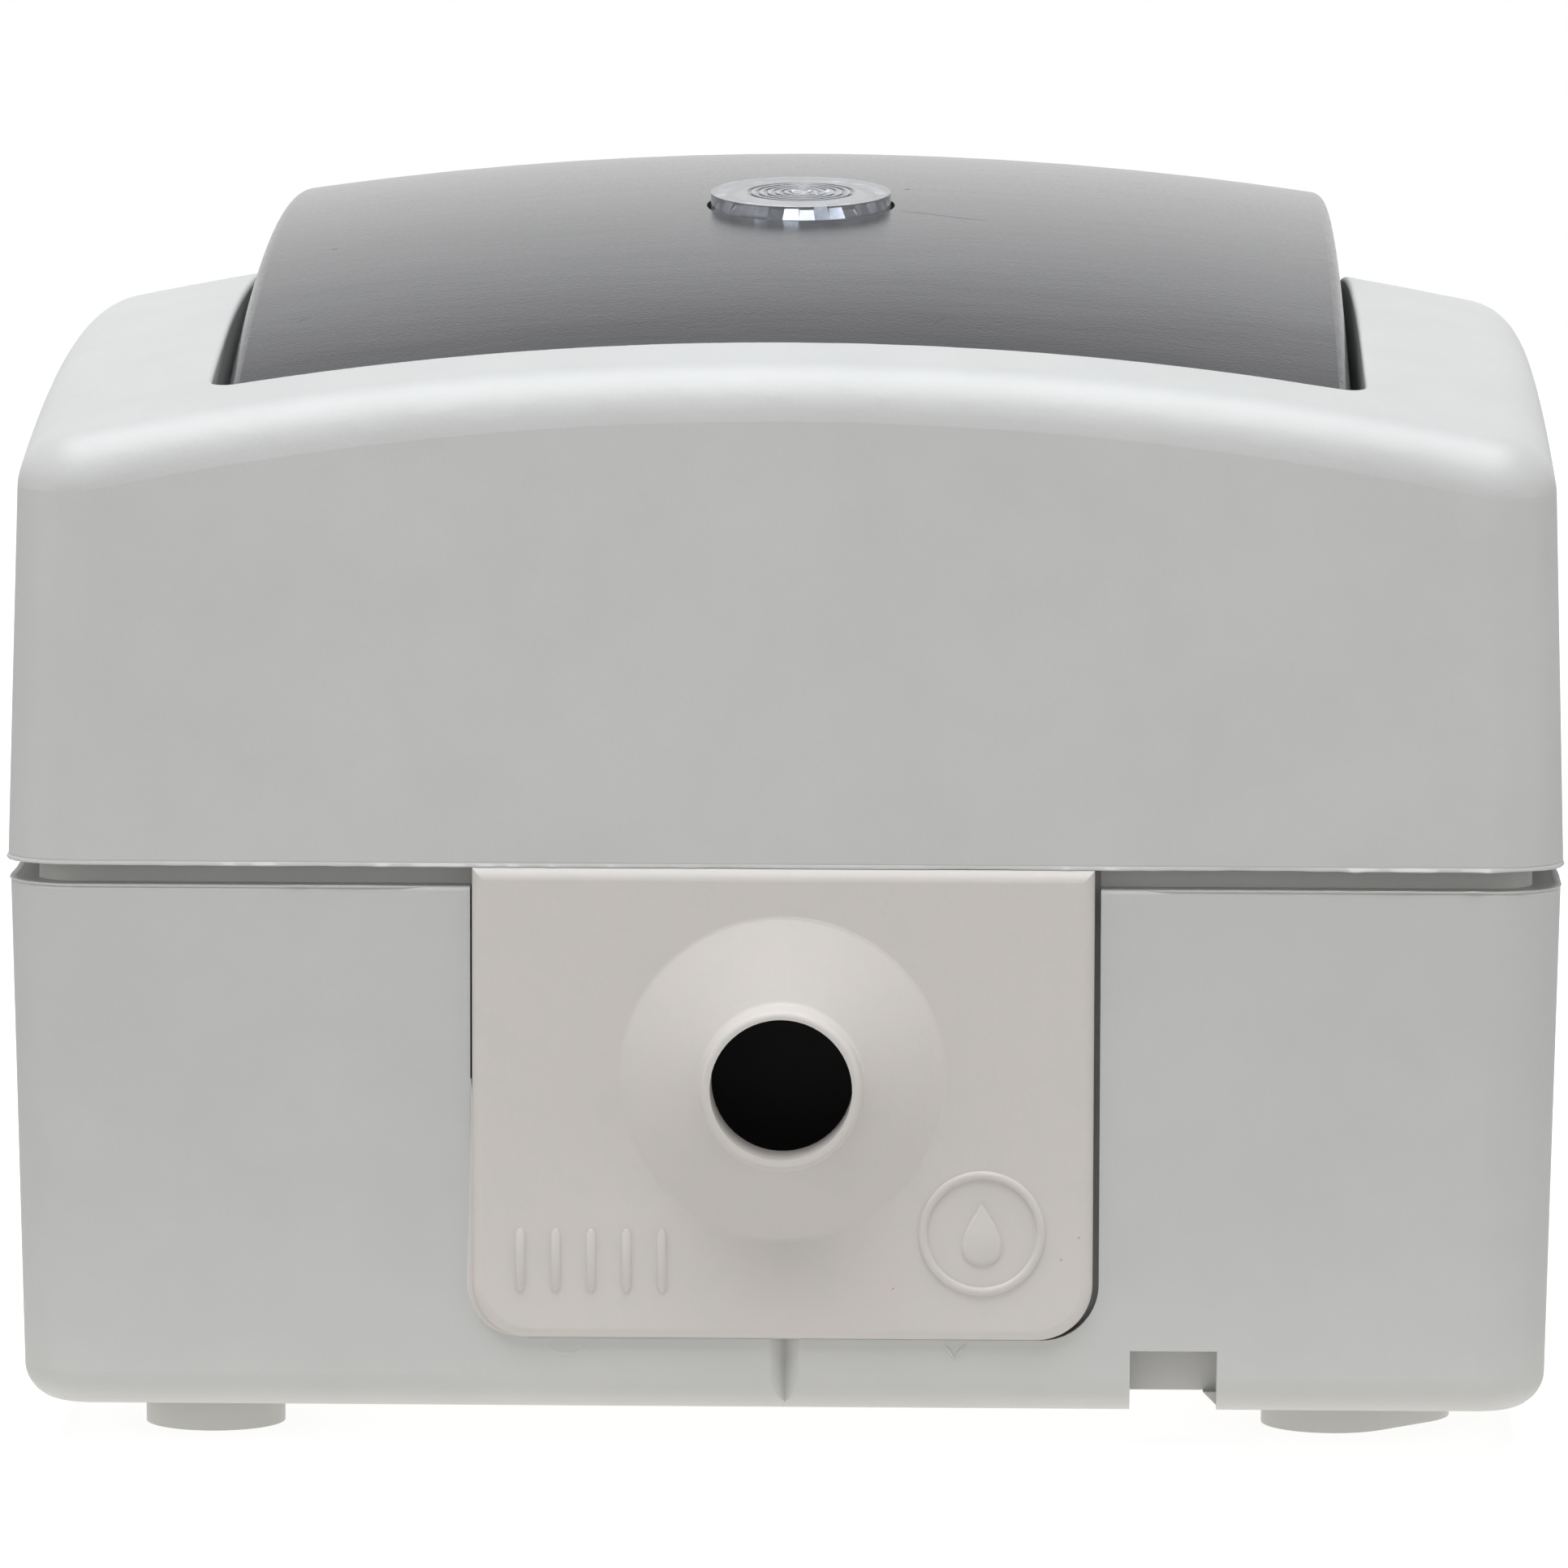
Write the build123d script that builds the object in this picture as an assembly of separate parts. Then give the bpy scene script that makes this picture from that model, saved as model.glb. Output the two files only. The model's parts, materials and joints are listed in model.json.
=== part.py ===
from build123d import *
import math
import os

os.makedirs("parts", exist_ok=True)

# Sizes are in millimetres. The wall plane is z = 0, z points out of the wall, and the cable enters from -y.

# Case
case_width = 66.0
case_corner = 3.0
foot_height = 1.7
base_height = 22.5
base_inset = 0.1
base_draft = 1.25
base_edge_radius = 1.6
base_wall = 2.4
floor_thickness = 2.4
underside_recess = 0.55
underside_rim = 3.2
parting_gap = 0.87
ledge = 1.2
rim_height = 5.6
lap_clearance = 0.15
gasket_thickness = 1.2
gasket_width = 0.9
cover_height = 24.45
cover_draft = 1.55
cover_wall = 2.2
cover_edge_radius = 2.6
cover_crown_radius = 149.4
edge_break = 0.2
opening_width = 49.1
opening_length = 55.3
opening_corner = 1.3
collar_wall = 1.4
tray_thickness = 2.0
lip_height = 1.6
lip_wall = 1.0

# Marks and notches low on the front wall
notch_centre = 16.6
notch_width = 3.7
notch_height = 2.75
groove_centre = 0.1
groove_side = 0.88

# Feet round the wall screw holes: round ones on one diagonal, slotted ones on the other
foot_radius = 3.0
wall_hole_radius = 2.1
round_foot = (24.6, 25.1)
slot_foot = (24.6, 22.8)
slot_travel = 3.1
inner_boss_radius = 4.2
inner_boss_height = 1.4

# Cable grommet
grommet_width = 26.3
grommet_bottom = 4.9
grommet_corner = 2.4
grommet_proud = 0.5
grommet_edge_radius = 0.5
slot_gap = 0.17
seal_gap = 0.02
slot_offset = 0.09
tongue_depth = 1.8
tongue_thickness = 1.2
tongue_setback = 1.5
tongue_clearance = 0.1
rear_plate = 1.3
nipple_drop = 8.95
nipple_radius = 6.9
nipple_proud = 3.3
dome_height = 1.6
dome_root = 0.3
dome_blend = 0.4
collar_radius = 3.42
collar_blend = 0.3
lip_rounding = 0.25
cable_radius = 3.0
lip_length = 3.0
hollow_small_radius = 3.3
hollow_radius = 5.6

# Rocker
rocker_width = 48.0
rocker_end_gap = 0.6
rocker_crown_radius = 162.8
rocker_tilt = 6.1
crown_above_cover = 1.57
crown_above_pivot = 8.2
rocker_skirt = 3.0
rocker_wall = 2.0
rocker_corner = 1.0
rocker_edge_radius = 0.6
sweep_clearance = 1.0
peg_radius = 1.5
peg_overhang = 0.4
peg_boss_radius = 2.6
peg_x = 8.0
peg_y = 15.0
fit_clearance = 0.05

# Signal lens
lens_radius = 4.03
lens_proud = 0.55
lens_gap = 0.18
lens_flange = 1.2
lens_flange_thickness = 0.8
lens_seat_drop = 2.2
lens_boss_wall = 1.2
lens_boss_rim = 0.8
ring_count = 6
ring_depth = 0.12
ring_land = 0.15
ring_zone_radius = 2.6
lens_core_radius = 0.4
lens_roof = 1.1
lens_wall = 0.9
lens_facets = 16

# Rocker carrier
carrier_half_width = 11.5
carrier_half_length = 18.0
carrier_plate = 2.0
carrier_top = 3.6
light_window_radius = 5.5
cheek_thickness = 2.0
cheek_half_length = 3.5
trunnion_radius = 1.5
trunnion_length = 3.0
leg_arm = 9.5
leg_drop = 9.0
leg_half_width = 3.0
nose_radius = 1.5
nose_clearance = 0.12

# Switch insert
insert_half_width = 16.0
insert_half_length = 15.0
insert_seat = 10.0
socket_height = 18.0
lid_thickness = 2.0
ear_gap = 0.4
ear_thickness = 2.8
ear_half_length = 3.5
aperture_half_width = 16.5
aperture_half_length = 13.5
moving_clearance = 0.35
lamp_tower_height = 4.0
lamp_tower_wall = 1.0

# Plunger, spring and contacts
stem_half_width = 3.5
stem_half_length = 2.0
plunger_flange = 2.0
plunger_flange_half_width = 5.5
plunger_flange_step = 0.7
stop_gap = 0.1
contact_x = 6.5
contact_radius = 1.4
contact_height = 0.7
contact_gap_closed = 0.05
bridge_thickness = 0.8
bridge_half_width = 1.9
bridge_overhang = 0.6
well_end_room = 0.7
well_side_room = 1.75
spigot_radius = 1.7
spigot_length = 2.0
spring_radius = 2.3
spring_wire_radius = 0.3
spring_wire_sides = 6
spring_turns = 5
spring_pocket_floor = 12.5
spring_pocket_gap = 0.6

# Terminals
terminal_x = 7.6
terminal_width = 5.4
terminal_front = -14.2
terminal_length = 7.0
terminal_bottom = 17.0
terminal_height = 8.0
terminal_gap = 0.15
wire_hole_radius = 1.5
wire_hole_height = 2.6
strip_width = 3.0
strip_thickness = 0.8

# Screws
thread_radius = 1.5
thread_clearance = 0.2
head_radius = 2.6
head_height = 1.9
head_chamfer = 0.5
recess_reach = 1.55
recess_width = 0.8
recess_depth = 1.1
post_radius = 3.2
post_height = 22.4
post_gap = 0.1
pilot_room = 0.5
cover_screw_x = 20.8
cover_screw_grip = 9.0
insert_screw_x = 13.3
insert_screw_y = 11.5
insert_screw_grip = 4.5
terminal_screw_length = 4.6
tool_clearance = 0.1

# Lamp
bulb_radius = 2.0
bulb_wall = 0.4
bulb_length = 11.0
lead_radius = 0.3
lead_spacing = 0.8
lead_level = 1.5
electrode_height = 7.5
resistor_radius = 1.0
resistor_length = 4.8
channel_clearance = 0.3

# How far a cutting shape runs past the face it cuts, and the turn of what lies along a diagonal
overshoot = 1.0
diagonal = 45.0

# Levels and places that follow from the sizes above
base_width = case_width - 2 * base_inset
base_top = foot_height + base_height
base_slope = math.tan(math.radians(base_draft))
floor_bottom = foot_height + underside_recess
floor_top = floor_bottom + floor_thickness
rim_width = base_width - 2 * ledge
rim_top = base_top + rim_height
shoulder = rim_top + gasket_thickness
cover_bottom = base_top + parting_gap
cover_apex = cover_bottom + cover_height
grommet_top = cover_bottom - seal_gap
nipple_height = grommet_top - nipple_drop
pivot = cover_apex + crown_above_cover - crown_above_pivot
tilt_sine = math.sin(math.radians(rocker_tilt))
tilt_cosine = math.cos(math.radians(rocker_tilt))
opening_reach = opening_length / 2 - rocker_end_gap
rocker_crown_middle = crown_above_pivot - rocker_crown_radius
rocker_end_rise = rocker_crown_middle + math.sqrt(rocker_crown_radius**2 - opening_reach**2)
rocker_half_length = (opening_reach - rocker_end_rise * tilt_sine) / tilt_cosine
skirt_low = pivot - rocker_half_length * tilt_sine - rocker_skirt * tilt_cosine
tray_top = skirt_low - sweep_clearance
tray_bottom = tray_top - tray_thickness
socket_top = insert_seat + socket_height
lid_top = socket_top + lid_thickness
post_top = floor_top + post_height
plunger_travel = 2 * leg_arm * tilt_sine
plunger_y = leg_arm * tilt_cosine
nose_low = pivot + leg_arm * tilt_sine - leg_drop * tilt_cosine - nose_radius
plunger_top = nose_low - nose_clearance
flange_top = socket_top - stop_gap
bridge_top = flange_top - plunger_flange
bridge_bottom = bridge_top - bridge_thickness
bridge_contact_low = bridge_bottom - contact_height
fixed_contact_top = bridge_contact_low - plunger_travel - contact_gap_closed
strip_top = fixed_contact_top - contact_height
strip_bottom = strip_top - strip_thickness
terminal_top = terminal_bottom + terminal_height
terminal_back = terminal_front + terminal_length
terminal_screw_y = terminal_front + terminal_length / 2
terminal_places = (-terminal_x, 0, terminal_x)
contact_places = (-contact_x, contact_x)
cover_screw_places = (-cover_screw_x, cover_screw_x)
insert_pads = [(x, y) for x in (-insert_screw_x, insert_screw_x) for y in (-insert_screw_y, insert_screw_y)]
insert_screw_places = [(x, y) for x, y in insert_pads if x * y > 0]
screw_hole_radius = thread_radius + fit_clearance
screw_pass_radius = thread_radius + thread_clearance
lead_z = terminal_top + lead_level


def block(x_range, y_range, z_range):
    """Box between two limits on each axis, given in either order."""
    limits = [sorted(pair) for pair in (x_range, y_range, z_range)]
    size = [high - low for low, high in limits]
    middle = [(high + low) / 2 for low, high in limits]
    return Pos(*middle) * Box(*size)


def rod(start, end, radius):
    """Cylinder from one point to another."""
    run = Vector(*end) - Vector(*start)
    return extrude(Plane(origin=start, z_dir=run) * Circle(radius), amount=run.length)


def upright_rod(place, z_range, radius):
    """Cylinder along z at a place (x, y)."""
    return rod((*place, z_range[0]), (*place, z_range[1]), radius)


def top_face(solid):
    """Face whose middle lies highest."""
    return max(solid.faces(), key=lambda face: face.center().Z)


def bottom_face(solid):
    """Face whose middle lies lowest."""
    return min(solid.faces(), key=lambda face: face.center().Z)


def front_face(solid):
    """Face whose middle lies nearest to the cable side."""
    return min(solid.faces(), key=lambda face: face.center().Y)


def upright_edges(solid):
    """Edges that run up the corners of a block."""
    return [edge for edge in solid.edges() if abs(edge.tangent_at(0.5).Z) > 0.9]


def round_lower_edges(solid, radius):
    """Rounds the lower edges of a block that run along y."""
    return fillet(bottom_face(solid).edges().filter_by(Axis.Y), radius)


def centred_block(half_x, half_y, z_range, corner):
    """Box about the z axis with rounded upright edges."""
    solid = block((-half_x, half_x), (-half_y, half_y), z_range)
    return fillet(upright_edges(solid), corner)


def drafted_block(width, from_z, to_z, draft, corner):
    """Square block with flat sides and rounded corners that narrows from one level to the other."""
    height = abs(to_z - from_z)
    inset = height * math.tan(math.radians(draft))
    solid = Wedge(width, height, width, inset, inset, width - inset, width - inset)
    solid = Pos(0, 0, (from_z + to_z) / 2) * Rot(math.copysign(90, to_z - from_z), 0, 0) * solid
    return fillet(upright_edges(solid), corner)


def under_crown(solid, apex, radius):
    """Part of a solid under a ball-shaped crown. The ball's poles lie along y, clear of the crown."""
    return solid & Pos(0, 0, apex - radius) * Rot(90, 0, 0) * Sphere(radius)


def cross_screw(length):
    """Screw with its head's underside at z = 0 and its shank pointing down."""
    head = upright_rod((0, 0), (0, head_height), head_radius)
    head = chamfer(top_face(head).edges(), head_chamfer)
    recess_range = (head_height - recess_depth, head_height + overshoot)
    recess = block((-recess_reach, recess_reach), (-recess_width / 2, recess_width / 2), recess_range)
    shank = upright_rod((0, 0), (-length, 0), thread_radius)
    return head + shank - recess - Rot(0, 0, 90) * recess


def placed_on_rocker(solid):
    """Moves a piece from the rocker's own frame, with the pivot at its origin, to its rest tilt."""
    return Pos(0, 0, pivot) * Rot(rocker_tilt, 0, 0) * solid


nodes = {}

# Base box: drafted walls, a floor raised above a rim, and an upstand that the cover laps over
bottom_width = base_width - 2 * base_height * base_slope
base = drafted_block(base_width, base_top, foot_height, base_draft, case_corner)
base = fillet(bottom_face(base).edges(), base_edge_radius)
base = fillet(top_face(base).edges(), edge_break)
recess_half = bottom_width / 2 - underside_rim
recess_range = (-recess_half, recess_half)
base -= block(recess_range, recess_range, (foot_height - overshoot, floor_bottom))
cavity_width = base_width - 2 * base_wall
cavity_range = (-cavity_width / 2, cavity_width / 2)
base -= drafted_block(cavity_width, base_top, floor_top, base_draft, case_corner - base_wall)
rim = drafted_block(rim_width, base_top, rim_top, cover_draft, case_corner - ledge)
base += rim - block(cavity_range, cavity_range, (base_top, rim_top))

# Posts, pads and feet of the base
for x in cover_screw_places:
    base += upright_rod((x, 0), (floor_top, post_top), post_radius)
    base -= upright_rod((x, 0), (post_top - cover_screw_grip - pilot_room, post_top), screw_hole_radius)
for place in insert_pads:
    base += upright_rod(place, (floor_top, insert_seat), post_radius)
for place in insert_screw_places:
    base -= upright_rod(place, (insert_seat - insert_screw_grip - pilot_room, insert_seat), screw_hole_radius)
inner_boss_top = floor_top + inner_boss_height
for side in (-1, 1):
    foot = (side * round_foot[0], side * round_foot[1])
    base += upright_rod(foot, (0, floor_bottom), foot_radius)
    base += upright_rod(foot, (floor_top, inner_boss_top), inner_boss_radius)
    base -= upright_rod(foot, (0, inner_boss_top), wall_hole_radius)
    slot_place = Pos(-side * slot_foot[0], side * slot_foot[1], 0) * Rot(0, 0, diagonal)
    base += extrude(slot_place * SlotCenterToCenter(slot_travel, 2 * foot_radius), amount=floor_bottom)
    base -= extrude(slot_place * SlotCenterToCenter(slot_travel, 2 * wall_hole_radius), amount=floor_top)

# Slot for the grommet, open at the top, with a tongue at mid thickness on its three sides
tongue_front = -base_width / 2 + tongue_setback
tongue_back = tongue_front + tongue_thickness
neck_back = tongue_back + tongue_clearance
grommet_back = neck_back + rear_plate
slot_half = grommet_width / 2 + slot_gap
slot_range = (slot_offset - slot_half, slot_offset + slot_half)
slot_bottom = grommet_bottom - seal_gap
slot_top = rim_top + overshoot
tongue_range = (slot_range[0] - base_wall, slot_range[1] + base_wall)
base += block(tongue_range, (tongue_front, tongue_back), (floor_top, rim_top))
front_recess = block(slot_range, (-case_width, tongue_front), (slot_bottom, slot_top))
base -= round_lower_edges(front_recess, grommet_corner)
base -= block(slot_range, (tongue_back, grommet_back + overshoot), (slot_bottom, slot_top))
neck_half = grommet_width / 2 - tongue_depth
neck_bottom = grommet_bottom + tongue_depth
neck_room = neck_half + slot_gap + tongue_clearance
neck_room_range = (slot_offset - neck_room, slot_offset + neck_room)
base -= block(neck_room_range, (-case_width, grommet_back), (neck_bottom - tongue_clearance, slot_top))

# Notch with a corner gusset, and the groove below the grommet, which runs out on the lower rounding
notch_range = (notch_centre - notch_width / 2, notch_centre + notch_width / 2)
base_front_low = -bottom_width / 2
notch_back = base_front_low + underside_rim
base -= block(notch_range, (-case_width, notch_back), (0, foot_height + notch_height))
gusset_outline = Polyline(
    (notch_range[1] - underside_recess, floor_bottom),
    (notch_range[1], floor_bottom),
    (notch_range[1], floor_bottom - underside_recess),
    close=True,
)
gusset_plane = Plane(origin=(0, notch_back, 0), x_dir=(1, 0, 0), z_dir=(0, -1, 0))
base += extrude(gusset_plane * make_face(gusset_outline), amount=underside_recess, both=True)
groove_y = base_front_low - (grommet_bottom - foot_height) * base_slope
groove_low = foot_height - overshoot
groove_place = Pos(groove_centre, groove_y, groove_low) * Rot(0, 0, diagonal)
base -= extrude(groove_place * Rectangle(groove_side, groove_side), amount=grommet_bottom - groove_low)
nodes["base_box"] = base

# Cover hood: drafted and arched outside, with a collar round the rocker and a tray below it
cover = drafted_block(case_width, cover_bottom, cover_apex + overshoot, cover_draft, case_corner)
cover = under_crown(cover, cover_apex, cover_crown_radius)
opening_x = opening_width / 2
opening_y = opening_length / 2
# The crown's rounding leaves a flat frame round the opening, so that the opening's edge can be broken
cover_inset = cover_height * math.tan(math.radians(cover_draft))
frame_width = case_width / 2 - cover_inset - max(opening_x, opening_y)
cover = fillet(top_face(cover).edges(), min(cover_edge_radius, frame_width - 2 * edge_break))
cover = fillet(bottom_face(cover).edges(), edge_break)
cover -= centred_block(opening_x, opening_y, (tray_top, cover_apex + overshoot), opening_corner)
cover = fillet(top_face(cover).inner_wires().edges(), edge_break)
inner_width = case_width - 2 * cover_wall
hollow = drafted_block(inner_width, cover_bottom, cover_apex, cover_draft, case_corner - cover_wall)
hollow = under_crown(hollow, cover_apex - cover_wall, cover_crown_radius - cover_wall)
collar_x = opening_x + collar_wall
collar_y = opening_y + collar_wall
hollow -= centred_block(collar_x, collar_y, (tray_bottom, cover_apex), opening_corner + collar_wall)
cover -= hollow
lap_width = rim_width + 2 * lap_clearance
cover -= drafted_block(lap_width, base_top, shoulder, cover_draft, case_corner - ledge + lap_clearance)
lip_x = aperture_half_width + lip_wall
lip_y = aperture_half_length + lip_wall
lip_top = tray_top + lip_height
cover += centred_block(lip_x, lip_y, (tray_bottom, lip_top), opening_corner + lip_wall)
for x in cover_screw_places:
    cover += upright_rod((x, 0), (post_top + post_gap, tray_bottom), post_radius)
    cover -= upright_rod((x, 0), (post_top, tray_top), screw_pass_radius)
aperture_range = (tray_bottom - overshoot, lip_top + overshoot)
cover -= centred_block(aperture_half_width, aperture_half_length, aperture_range, opening_corner)
nodes["cover_hood"] = cover

# Gasket that lies on the upstand and runs over the grommet
rim_inset_at_top = rim_height * math.tan(math.radians(cover_draft))
gasket_outer = rim_width / 2 - rim_inset_at_top - lap_clearance
gasket_inner = gasket_outer - gasket_width
gasket = centred_block(gasket_outer, gasket_outer, (rim_top, shoulder), case_corner - ledge - lap_clearance)
gasket -= centred_block(gasket_inner, gasket_inner, (rim_top, shoulder), case_corner - ledge - gasket_width)
nodes["cover_gasket"] = gasket

# Cable grommet: front plate, low dome with a collar, neck in the slot, rear plate and hollow
grommet_half = grommet_width / 2
grommet_range = (-grommet_half, grommet_half)
plate_back = tongue_front - tongue_clearance
sheath_width = base_width + 2 * grommet_proud + 2 * (slot_top - base_top) * base_slope
sheath = drafted_block(sheath_width, slot_top, foot_height, base_draft, case_corner)
plate = block(grommet_range, (-case_width, plate_back), (grommet_bottom, grommet_top))
plate = round_lower_edges(plate, grommet_corner) & sheath
plate = fillet(front_face(plate).edges(), grommet_edge_radius)
nipple_face = -base_width / 2 - grommet_proud + (base_top - nipple_height) * base_slope
root_widening = dome_root * (nipple_radius - collar_radius) / dome_height
collar_foot = (collar_radius, -dome_height)
collar_rim = (collar_radius, -nipple_proud)
nipple_outline = Polyline(
    (0, dome_root),
    (nipple_radius + root_widening, dome_root),
    collar_foot,
    collar_rim,
    (0, -nipple_proud),
    close=True,
)
nipple = make_face(nipple_outline)
nipple = fillet(nipple.vertices().sort_by_distance(collar_foot)[0], collar_blend)
nipple = fillet(nipple.vertices().sort_by_distance(collar_rim)[0], lip_rounding)
plate += Pos(0, nipple_face, nipple_height) * Rot(base_draft, 0, 0) * revolve(nipple, Axis.Y)
circles = plate.edges().filter_by(GeomType.CIRCLE)
plate = fillet([edge for edge in circles if abs(edge.radius - nipple_radius) < fit_clearance], dome_blend)
rear_top = rim_top - tongue_clearance
grommet = plate + block((-neck_half, neck_half), (plate_back, neck_back), (neck_bottom, rear_top))
grommet += block(grommet_range, (neck_back, grommet_back), (grommet_bottom, rear_top))
lip_back = nipple_face - nipple_proud + lip_length
hollow_outline = Polyline(
    (0, lip_back),
    (hollow_small_radius, lip_back),
    (hollow_radius, plate_back),
    (hollow_radius, grommet_back),
    (0, grommet_back),
    close=True,
)
grommet -= Pos(0, 0, nipple_height) * revolve(make_face(hollow_outline), Axis.Y)
grommet -= rod((0, -case_width, nipple_height), (0, grommet_back, nipple_height), cable_radius)
nodes["cable_grommet"] = grommet

# Rocker cap, in its own frame
rocker_x = rocker_width / 2
cap_height = crown_above_pivot + overshoot
cap = centred_block(rocker_x, rocker_half_length, (-rocker_skirt, cap_height), rocker_corner)
cap = under_crown(cap, crown_above_pivot, rocker_crown_radius)
cap = fillet(top_face(cap).edges(), rocker_edge_radius)
cap_inner_x = rocker_x - rocker_wall
cap_inner_y = rocker_half_length - rocker_wall
cap_inner_range = (-rocker_skirt - overshoot, cap_height)
cap_inner = block((-cap_inner_x, cap_inner_x), (-cap_inner_y, cap_inner_y), cap_inner_range)
cap -= under_crown(cap_inner, crown_above_pivot - rocker_wall, rocker_crown_radius - rocker_wall)
lens_seat = crown_above_pivot - lens_seat_drop
lens_bottom = lens_seat - lens_flange_thickness
lens_flange_radius = lens_radius + lens_flange
lens_bore = lens_flange_radius + fit_clearance
boss_low = lens_bottom - lens_boss_rim
middle = (0, 0)
cap += upright_rod(middle, (boss_low, crown_above_pivot - rocker_wall / 2), lens_bore + lens_boss_wall)
cap -= upright_rod(middle, (boss_low, lens_seat), lens_bore)
cap -= upright_rod(middle, (boss_low, cap_height), lens_radius + lens_gap)
peg_places = [(x, y) for x in (-peg_x, peg_x) for y in (-peg_y, peg_y)]
peg_roof = rocker_crown_middle + math.sqrt(rocker_crown_radius**2 - peg_x**2 - peg_y**2)
carrier_low = carrier_top - carrier_plate
for place in peg_places:
    cap += upright_rod(place, (carrier_top, peg_roof - rocker_wall / 2), peg_boss_radius)
    cap += upright_rod(place, (carrier_low - peg_overhang, carrier_top), peg_radius)
nodes["rocker_cap"] = placed_on_rocker(cap)

# Signal lens with rings in the middle of its top, and a pocket with flat facets below
lens_top = crown_above_pivot + lens_proud
ring_pitch = (ring_zone_radius - lens_core_radius) / ring_count
lens_points = [(0, lens_top), (lens_core_radius, lens_top)]
for ring in range(ring_count):
    ring_start = lens_core_radius + ring * ring_pitch
    ring_end = ring_start + ring_pitch
    lens_points.append((ring_start, lens_top - ring_depth))
    lens_points.append((ring_end - ring_land, lens_top))
    lens_points.append((ring_end, lens_top))
lens_points.append((lens_radius, lens_top))
lens_points.append((lens_radius, lens_seat - fit_clearance))
lens_points.append((lens_flange_radius, lens_seat - fit_clearance))
lens_points.append((lens_flange_radius, lens_bottom))
lens_points.append((0, lens_bottom))
lens_section = Plane.XZ * make_face(Polyline(*lens_points, close=True))
lens_pocket = Pos(0, 0, lens_bottom) * RegularPolygon(lens_radius - lens_wall, lens_facets)
lens = revolve(lens_section, Axis.Z) - extrude(lens_pocket, amount=lens_top - lens_roof - lens_bottom)
nodes["signal_lens"] = placed_on_rocker(lens)

# Rocker carrier: plate under the cap, cheeks with trunnions, and the leg that pushes the plunger
carrier_x = (-carrier_half_width, carrier_half_width)
carrier_y = (-carrier_half_length, carrier_half_length)
carrier = block(carrier_x, carrier_y, (carrier_low, carrier_top))
carrier -= upright_rod(middle, (carrier_low, carrier_top), light_window_radius)
for place in peg_places:
    carrier -= upright_rod(place, (carrier_low, carrier_top), peg_radius + fit_clearance)
for side in (-1, 1):
    cheek_outer = side * carrier_half_width
    cheek_inner = cheek_outer - side * cheek_thickness
    trunnion_end = cheek_outer + side * (ear_gap + trunnion_length)
    carrier += block((cheek_inner, cheek_outer), (-cheek_half_length, cheek_half_length), (0, carrier_low))
    carrier += rod((cheek_inner, 0, 0), (cheek_outer, 0, 0), cheek_half_length)
    carrier += rod((cheek_outer, 0, 0), (trunnion_end, 0, 0), trunnion_radius)
leg_x = (-leg_half_width, leg_half_width)
carrier += block(leg_x, (leg_arm - nose_radius, leg_arm + nose_radius), (-leg_drop, carrier_low))
carrier += rod((-leg_half_width, leg_arm, -leg_drop), (leg_half_width, leg_arm, -leg_drop), nose_radius)
nodes["rocker_carrier"] = placed_on_rocker(carrier)

# Bearing lid: plate with two ears, plunger guide, lamp tower and tool holes
insert_x = (-insert_half_width, insert_half_width)
insert_y = (-insert_half_length, insert_half_length)
lid_range = (socket_top, lid_top)
lid = block(insert_x, insert_y, lid_range)
for side in (-1, 1):
    ear_inner = side * (carrier_half_width + ear_gap)
    ear_outer = ear_inner + side * ear_thickness
    lid += block((ear_inner, ear_outer), (-ear_half_length, ear_half_length), (lid_top, pivot))
    lid += rod((ear_inner, 0, pivot), (ear_outer, 0, pivot), ear_half_length)
    lid -= rod((ear_inner, 0, pivot), (ear_outer, 0, pivot), trunnion_radius + fit_clearance)
tower_range = (lid_top, lid_top + lamp_tower_height)
tower_bore = bulb_radius + fit_clearance
lid += upright_rod(middle, tower_range, tower_bore + lamp_tower_wall)
lid -= upright_rod(middle, tower_range, tower_bore)
for x in (-lead_spacing, lead_spacing):
    lid -= upright_rod((x, 0), lid_range, lead_radius + channel_clearance / 2)
guide_x = stem_half_width + moving_clearance
guide_y = stem_half_length + moving_clearance
lid -= block((-guide_x, guide_x), (plunger_y - guide_y, plunger_y + guide_y), lid_range)
for x in terminal_places:
    lid -= upright_rod((x, terminal_screw_y), lid_range, head_radius + tool_clearance)
for place in insert_screw_places:
    lid -= upright_rod(place, lid_range, screw_pass_radius)
nodes["bearing_lid"] = lid

# Contact socket: block with wells for the plunger, spring, contact strips, terminals and lamp leads
socket = block(insert_x, insert_y, (insert_seat, socket_top))
bridge_x = contact_x + contact_radius + bridge_overhang
well_x = bridge_x + well_end_room
well_y = bridge_half_width + well_side_room
socket -= block((-well_x, well_x), (plunger_y - well_y, plunger_y + well_y), (strip_bottom, socket_top))
pocket_radius = spring_radius + spring_wire_radius + spring_pocket_gap
socket -= upright_rod((0, plunger_y), (spring_pocket_floor, strip_bottom), pocket_radius)
terminal_pocket_half = terminal_width / 2 + terminal_gap
terminal_pocket_y = (-insert_half_length - overshoot, terminal_back + terminal_gap)
for x in terminal_places:
    pocket_x = (x - terminal_pocket_half, x + terminal_pocket_half)
    socket -= block(pocket_x, terminal_pocket_y, (terminal_bottom, socket_top))
channel_half = strip_width / 2 + channel_clearance
for x in contact_places:
    channel_x = (x - channel_half, x + channel_half)
    socket -= block(channel_x, (terminal_back, plunger_y), (strip_bottom, socket_top))
lead_room = lead_radius + channel_clearance
socket -= block((0, contact_x), (-lead_room, lead_room), (lead_z - lead_room, socket_top))
resistor_room = resistor_radius + channel_clearance
resistor_x = (-lead_spacing - resistor_room, -lead_spacing + resistor_room)
socket -= block(resistor_x, (terminal_back, lead_room), (lead_z - resistor_room, socket_top))
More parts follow.
